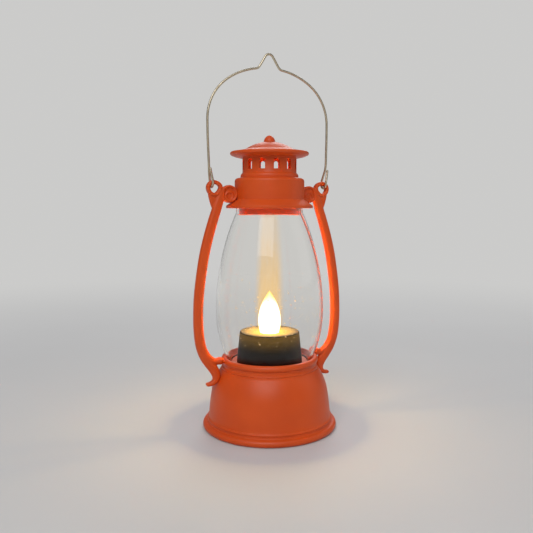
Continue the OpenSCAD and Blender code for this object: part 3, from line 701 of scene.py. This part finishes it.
def build_specks():
    """Dust and tiny bubbles on the inside of the globe, thickest above the candle."""
    verts, faces = [], []
    for _ in range(SPECKS):
        z = SPECK_Z + SPECK_SPAN * random.betavariate(1.8, 2.6)
        angle = random.uniform(0, 2 * math.pi)
        size = random.choice(SPECK_SIZES) * random.uniform(0.8, 1.3)
        out = Vector((math.cos(angle), math.sin(angle), 0))
        side = Vector((-out.y, out.x, 0))
        middle = out * (globe_radius(z, GLOBE_WALL) - 0.3 * size) + Vector((0, 0, z))
        tilt = random.uniform(0, math.pi)
        long = side * math.cos(tilt) + Vector((0, 0, 1)) * math.sin(tilt)
        short = out.cross(long)
        stretch = random.uniform(1.0, 2.4)
        first = len(verts)
        verts += [middle + out * (0.4 * size), middle - out * (0.6 * size)]
        for k in range(SPECK_SIDES):
            a = 2 * math.pi * k / SPECK_SIDES
            verts.append(middle + long * (size * stretch * math.cos(a)) + short * (size * math.sin(a)))
        for k in range(SPECK_SIDES):
            b, c = first + 2 + k, first + 2 + (k + 1) % SPECK_SIDES
            faces += [(first, b, c), (first + 1, c, b)]
    new_object("globe_specks", verts, faces, "globe_clear", "body", dust_and_painted_glow_finish())


def dust_and_painted_glow_finish():
    """Half clear golden dust grains with a painted glow that stands in for the flame's light on them."""
    material, tree = new_material("globe_dust")
    tone = mix_colour(tree, noise(tree, place(tree), 900, 2), GRAIN_DARK, GRAIN_PALE)
    matte = add(tree, "BsdfPrincipled", Base_Color=tone, Roughness=0.7)
    # painted light: the grains glow as if lit by the flame
    matte.inputs["Emission Color"].default_value = GRAIN_PAINTED_GLOW
    matte.inputs["Emission Strength"].default_value = 0.45
    clear = add(tree, "BsdfTransparent")
    finish_material(tree, mix_shader(tree, 0.65, clear, matte).outputs[0])
    return material


# ---------------------------------------------------------------- the object

for entry in frame["record"]["subparts"]:
    dress_cad(entry["node"], finishes[entry["material_slot"]])

build_arms()
build_bail()
build_specks()


# ---------------------------------------------------------------- studio

def build_floor():
    """A wide plain floor."""
    mesh = bpy.data.meshes.new("floor")
    reach = 4.0
    corners = [(x * reach, y * reach, 0) for x, y in ((-1, -1), (1, -1), (1, 1), (-1, 1))]
    mesh.from_pydata(corners, [], [(0, 1, 2, 3)])
    mesh.materials.append(floor_finish("floor"))
    floor = bpy.data.objects.new("floor", mesh)
    bpy.context.scene.collection.objects.link(floor)


SKY_LOW = rgba(0.16, 0.16, 0.16)
SKY_HIGH = rgba(0.42, 0.43, 0.46)
SKY_MIRRORED = rgba(0.03, 0.03, 0.03)
LIT_POINT = Vector((0, 0, 0.075))       # the middle of the lantern
LED_COLOUR = (1.0, 0.68, 0.26)
LED_WATTS = 0.44
LED_R = 5.4 * MM


def area_light(name, place_at, size, watts):
    """A square softbox that faces the middle of the lantern."""
    data = bpy.data.lights.new(name, "AREA")
    data.size = size
    data.energy = watts
    lamp = bpy.data.objects.new(name, data)
    lamp.location = place_at
    aim = LIT_POINT - Vector(place_at)
    lamp.rotation_euler = aim.to_track_quat("-Z", "Y").to_euler()
    bpy.context.scene.collection.objects.link(lamp)


def flame_light():
    """The LED's own warm light, just outside the flame's skin so that it reaches the globe and the arms."""
    middle = (flame_low + flame_high) / 2
    data = bpy.data.lights.new("led_light", "POINT")
    data.energy = LED_WATTS
    data.color = LED_COLOUR
    data.shadow_soft_size = LED_R
    lamp = bpy.data.objects.new("led_light", data)
    lamp.visible_camera = False
    lamp.visible_glossy = False
    lamp.visible_transmission = False
    lamp.location = (0, 0, middle.z + 2 * MM)
    bpy.context.scene.collection.objects.link(lamp)


def build_world():
    """Soft grey light from all round, dimmer in mirrors, with a plain pale backdrop behind the lantern."""
    world = bpy.data.worlds.new("studio")
    bpy.context.scene.world = world
    world.use_nodes = True
    tree = world.node_tree
    tree.nodes.clear()
    up = add(tree, "SeparateXYZ", Vector=add(tree, "TexCoord").outputs["Generated"]).outputs["Z"]
    sky = mix_colour(tree, spread(tree, up, -0.1, 0.9), SKY_LOW, SKY_HIGH)
    rays = add(tree, "LightPath")
    seen = maths(tree, "MAXIMUM", rays.outputs["Is Camera Ray"], rays.outputs["Is Transmission Ray"])
    mirrored = maths(tree, "MULTIPLY", rays.outputs["Is Glossy Ray"], 0.6)
    sky = mix_colour(tree, mirrored, sky, SKY_MIRRORED)
    tone = mix_colour(tree, seen, sky, BACKDROP)
    add(tree, "OutputWorld", Surface=add(tree, "Background", Color=tone, Strength=1.0).outputs[0])


# the camera, in metres from the lantern's axis and foot
CAMERA_AZIMUTH = math.radians(-22)      # the camera stands this far round towards -X from the front
CAMERA_DISTANCE = 0.2598
CAMERA_HEIGHT = 0.0939
CAMERA_PITCH = math.radians(5.53)       # looking down
CAMERA_LENS = 41.45                     # for a sensor 36 mm wide
CAMERA_SHIFT = -0.0056


def build_camera():
    """The camera, in the place that was fitted to the outline of the turned parts."""
    data = bpy.data.cameras.new("camera")
    data.lens = CAMERA_LENS
    data.sensor_width = 36.0
    data.shift_x = CAMERA_SHIFT
    data.clip_start = 0.01
    camera = bpy.data.objects.new("camera", data)
    side = CAMERA_DISTANCE * math.sin(CAMERA_AZIMUTH)
    ahead = CAMERA_DISTANCE * math.cos(CAMERA_AZIMUTH)
    camera.location = (side, -ahead, CAMERA_HEIGHT)
    camera.rotation_euler = (math.pi / 2 - CAMERA_PITCH, 0, CAMERA_AZIMUTH)
    bpy.context.scene.collection.objects.link(camera)
    bpy.context.scene.camera = camera


build_floor()
build_world()
area_light("key", (-0.52, -0.80, 0.95), 0.90, 8.5)
area_light("fill", (0.95, -0.30, 0.45), 0.70, 0.7)
area_light("rim", (0.45, 0.85, 0.70), 0.50, 3.0)
flame_light()
build_camera()
bpy.context.scene.view_settings.view_transform = "Standard"
